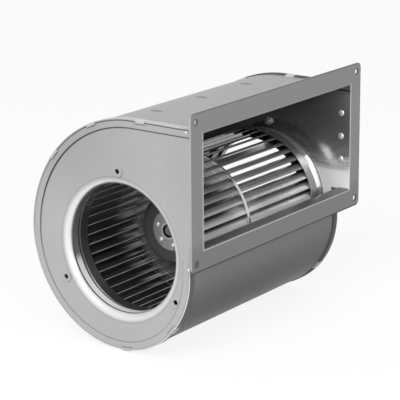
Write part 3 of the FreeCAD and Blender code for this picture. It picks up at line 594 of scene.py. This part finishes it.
def dress_wheel():
    dress(blade_steel(), "left_blades", "right_blades")
    dress(disc_steel(), "impeller_disc")
    dress(ring_steel(), "left_end_ring", "right_end_ring")


# Thin trim that the solids leave out

def make_piece(name, shape, material, body, smooth=True):
    mesh = bpy.data.meshes.new(name)
    bmesh.ops.recalc_face_normals(shape, faces=shape.faces)
    shape.to_mesh(mesh)
    shape.free()
    for face in mesh.polygons:
        face.use_smooth = smooth
    piece = bpy.data.objects.new(name, mesh)
    bpy.context.collection.objects.link(piece)
    mesh.materials.append(material)
    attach(piece, body)
    return piece


def arc_points(arc, start, end, steps):
    """Points and outward directions along an arc of the outline."""
    middle_y, middle_z, radius = arc
    points = []
    for step in range(steps + 1):
        turn = math.radians(start + (end - start) * step / steps)
        out = (math.cos(turn), math.sin(turn))
        points.append((middle_y + radius * out[0], middle_z + radius * out[1], out))
    return points


def outline_points():
    """The scroll's outline from below the flange round to the top front."""
    path = [(SCROLL_FRONT, -0.0672, (-1.0, 0.0)), (SCROLL_FRONT, -0.0700, (-1.0, 0.0))]
    path += arc_points(LOW_ARC, -180.0, -90.0, 48)
    path += arc_points(BACK_ARC, -90.0, 0.0, 60)[1:]
    path += arc_points(TOP_ARC, 0.0, 90.0, 72)[1:]
    path += [(0.0450, SCROLL_TOP, (0.0, 1.0)), (SCROLL_FRONT, SCROLL_TOP, (0.0, 1.0))]
    return path


def skin(shape, sections):
    """Closes a solid over a row of sections that have the same number of points."""
    rings = [[shape.verts.new(point) for point in section] for section in sections]
    count = len(rings[0])
    for first, second in zip(rings, rings[1:]):
        for index in range(count):
            after = (index + 1) % count
            shape.faces.new((first[index], first[after], second[after], second[index]))
    shape.faces.new(rings[0])
    shape.faces.new(rings[-1])


def swept(name, path, section, side, material):
    """Carries a section of (across, outward) points along the outline."""
    shape = bmesh.new()
    skin(shape, [[(side * across, y + out[0] * grow, z + out[1] * grow)
                  for across, grow in section] for y, z, out in path])
    return make_piece(name, shape, material, "housing")


def seam_hems(material):
    """The seam's rolled edge, all round the casing."""
    radius = 0.0005
    section = []
    for step in range(10):
        turn = math.tau * step / 10
        section.append((RIM_FACE + radius * math.cos(turn), 0.00049 + radius * math.sin(turn)))
    for name, side in (("left_seam_hem", -1), ("right_seam_hem", 1)):
        swept(name, outline_points(), section, side, material)


def hem_steel():
    """The rolled edge: a painted highlight along its lower half."""
    steel = SheetMetal("hem_steel", 0.46, 0.36, 0.2)
    _, _, z = steel.axes()
    # Painted highlight: the lower half light.
    steel.mark(steel.spread(z, -0.055, -0.085) * 0.85, 0.85)
    return steel.done()


def lug_path(lug, half):
    if lug[0] == "top":
        return [(lug[1] + half * step / 3, SCROLL_TOP, (0.0, 1.0)) for step in (-3, -1, 1, 3)]
    turn = math.degrees(half / lug[1][2])
    return arc_points(lug[1], lug[2] - turn, lug[2] + turn, 6)


def seam_lugs(material):
    """Tabs of the wrap, bent over the walls' rims to hold the seam."""
    section = (
        (0.1047, -0.0004), (0.1047, 0.0004), (0.1064, 0.0006), (0.1072, 0.0012),
        (0.1130, 0.0012), (0.1136, 0.0010), (0.1139, 0.0005), (0.1139, -0.0015),
        (0.1129, -0.0015), (0.1129, -0.0004))
    for side_name, side in (("left", -1), ("right", 1)):
        for number, lug in enumerate(SEAM_LUGS, 1):
            tab = swept("%s_seam_lug_%d" % (side_name, number), lug_path(lug, 0.0045),
                        section, side, material)
            edge = tab.modifiers.new("edge", "BEVEL")
            edge.width = 0.00018
            edge.segments = 2
            edge.limit_method = "ANGLE"
            for face in tab.data.polygons:
                face.use_smooth = False


def crease_section(place, along):
    """One cut across a crease: a gentle and a steep flank, closed under the sheet's face."""
    middle_y, half_long, half_wide, high = 0.0780, 0.0085, 0.0026, 0.0005
    thin = (1 - along * along) + 0.04
    y = middle_y + half_long * along
    sag = TOP_ARC[2] - math.sqrt(TOP_ARC[2] ** 2 - max(y - TOP_ARC[0], 0) ** 2)
    ground = SCROLL_TOP - sag - 0.00003
    section = []
    for step in range(13):
        across = step / 6 - 1
        slope = (across + 1) / 1.5 if across < 0.5 else (1 - across) / 0.5
        rise = slope * slope * (3 - 2 * slope)
        section.append((place + half_wide * across * thin, y, ground + high * rise * thin * thin))
    return section + [(place + half_wide * across * thin, y, ground - 0.0002)
                      for across in (1, -1)]


def wrap_wrinkles(material):
    """Three shallow creases in the wrap, where it starts to curve down."""
    shape = bmesh.new()
    for place in (-0.0729, -0.0087, 0.0589):
        skin(shape, [crease_section(place, step / 10 - 1) for step in range(21)])
    make_piece("wrap_wrinkles", shape, material, "housing")


def turned_heads(name, places, profile, material, body):
    """Turned pieces along X: one (across, radius) profile at several places in Y and Z."""
    shape = bmesh.new()
    steps = 24
    for y, z in places:
        rings = []
        for across, radius in profile:
            if radius == 0:
                rings.append([shape.verts.new((across, y, z))])
                continue
            turns = [math.tau * step / steps for step in range(steps)]
            rings.append([shape.verts.new((across, y + radius * math.cos(turn),
                                           z + radius * math.sin(turn))) for turn in turns])
        for first, second in zip(rings, rings[1:]):
            for index in range(steps):
                after = (index + 1) % steps
                corners = [first[index % len(first)], first[after % len(first)],
                           second[after % len(second)], second[index % len(second)]]
                shape.faces.new(list(dict.fromkeys(corners)))
    return make_piece(name, shape, material, body)


def dome(base, top, radius):
    """Half of a button head's profile, from its rim to its crown."""
    points = []
    for step in range(6):
        turn = math.radians(90 * step / 5)
        points.append((base + (top - base) * math.sin(turn), radius * math.cos(turn)))
    points[-1] = (top, 0)
    return points


def spot_welds(material):
    """Small raised welds on each wall's rim, above and below the flange's corners."""
    places = [(0.0161, 0.0470), (0.0148, -0.0690)]
    foot = 0.1128
    for side_name, side in (("left", -1), ("right", 1)):
        profile = [(side * across, radius) for across, radius in dome(foot, 0.1135, 0.0012)]
        turned_heads(side_name + "_spot_welds", places, profile[::-1] + [(side * foot, 0)],
                     material, "housing")


def hub_rivet_heads(material):
    """Six rivets round the hub, with a head on both sides."""
    places = []
    for index in range(6):
        turn = math.radians(15 + 60 * index)
        places.append((SHAFT_Y + HUB_RIVET_CIRCLE * math.cos(turn),
                       SHAFT_Z + HUB_RIVET_CIRCLE * math.sin(turn)))
    profile = dome(-0.0422, -0.0438, 0.0028)[::-1] + dome(-0.0384, -0.0378, 0.0024)
    heads = turned_heads("hub_rivet_heads", places, profile, material, "rotor")
    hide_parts("hub_rivets")


def collar_rivet_heads(material):
    """Three rivets through each wall, with the wider head inside the casing."""
    places = [(0.0093, height) for height in (-0.0215, 0.0, 0.0215)]
    for side_name, side in (("left", -1), ("right", 1)):
        inner = [(side * across, radius) for across, radius in dome(0.1110, 0.1098, 0.0030)]
        outer = [(side * across, radius) for across, radius in dome(0.1130, 0.1136, 0.0024)]
        heads = turned_heads(side_name + "_collar_rivet_heads", places, inner[::-1] + outer,
                             material, "housing")
        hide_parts(side_name + "_collar_rivets")


# Studio

def white_floor():
    mesh = bpy.data.meshes.new("floor")
    shape = bmesh.new()
    bmesh.ops.create_grid(shape, x_segments=1, y_segments=1, size=6.0)
    shape.to_mesh(mesh)
    shape.free()
    floor = bpy.data.objects.new("floor", mesh)
    floor.location.z = FLOOR
    bpy.context.collection.objects.link(floor)
    white = Finish("floor_white")
    seen = white.seen()
    white.surface(base_color=white.tint(seen, grey(0.25), grey(0.95)), roughness=0.9)
    glow = white.node("Emission", {}, {"Color": (1, 1, 1, 1), "Strength": 1.0})
    paint = Wire(white, white.shader.outputs[0])
    mix = white.node("MixShader", {}, {0: seen * 0.88, 1: paint, 2: glow})
    white.plug(white.tree.nodes["Material Output"].inputs["Surface"], mix)
    mesh.materials.append(white.material)


def studio_world():
    world = bpy.data.worlds.new("studio")
    bpy.context.scene.world = world
    world.use_nodes = True
    studio = Nodes(world.node_tree)
    sky = studio.tree.nodes["Background"]
    studio.plug(sky.inputs["Color"], (1, 1, 1, 1))
    studio.plug(sky.inputs["Strength"], studio.seen() * 0.5 + 0.5)


def softbox(name, place, aim, width, height, power):
    lamp = bpy.data.lights.new(name, "AREA")
    lamp.shape = "RECTANGLE"
    lamp.size = width
    lamp.size_y = height
    lamp.energy = power
    box = bpy.data.objects.new(name, lamp)
    box.location = place
    box.rotation_euler = (Vector(aim) - Vector(place)).to_track_quat("-Z", "Y").to_euler()
    bpy.context.collection.objects.link(box)


def photo_camera():
    """The photograph's viewpoint: a long lens from the front left, slightly above."""
    azimuth = math.radians(-53.262)
    elevation = math.radians(15.929)
    roll = math.radians(-0.479)
    back = Vector((
        math.sin(azimuth) * math.cos(elevation),
        -math.cos(azimuth) * math.cos(elevation),
        math.sin(elevation)))
    level = Vector((0, 0, 1)).cross(back).normalized()
    upright = back.cross(level)
    right = level * math.cos(roll) + upright * math.sin(roll)
    up = upright * math.cos(roll) - level * math.sin(roll)
    camera = bpy.data.cameras.new("photo_camera")
    camera.lens = 155.23
    camera.sensor_width = 36.0
    camera.clip_start = 0.05
    view = bpy.data.objects.new("photo_camera", camera)
    turn = Matrix((right, up, back)).transposed().to_4x4()
    across, above, away = -0.0692, -0.0317, 1.4745
    place = right * across + up * above + back * away
    view.matrix_world = Matrix.Translation(place) @ turn
    bpy.context.collection.objects.link(view)
    bpy.context.scene.camera = view


dress_casing()
dress_motor()
dress_wheel()
seam_hems(hem_steel())
seam_lugs(plain_sheet("lug_steel", 0.52, 0.4, 0.15))
# Painted shade: the creases are a darker sheet than the wrap.
wrap_wrinkles(plain_sheet("shaded_wrinkle_steel", 0.17, 0.4, 0.3))
rivet_zinc = zinc_plate("rivet_zinc", 0.85, 0.3, 0.5)
hub_rivet_heads(rivet_zinc)
collar_rivet_heads(rivet_zinc)
spot_welds(rivet_zinc)
white_floor()
studio_world()
softbox("side_softbox", (-1.29, -0.28, 1.0), (0, 0.09, -0.05), 0.9, 0.9, 22.0)
softbox("front_softbox", (-0.45, -1.45, 0.75), (0, 0.05, -0.05), 0.9, 0.6, 7.0)
photo_camera()
bpy.context.scene.view_settings.view_transform = "Standard"
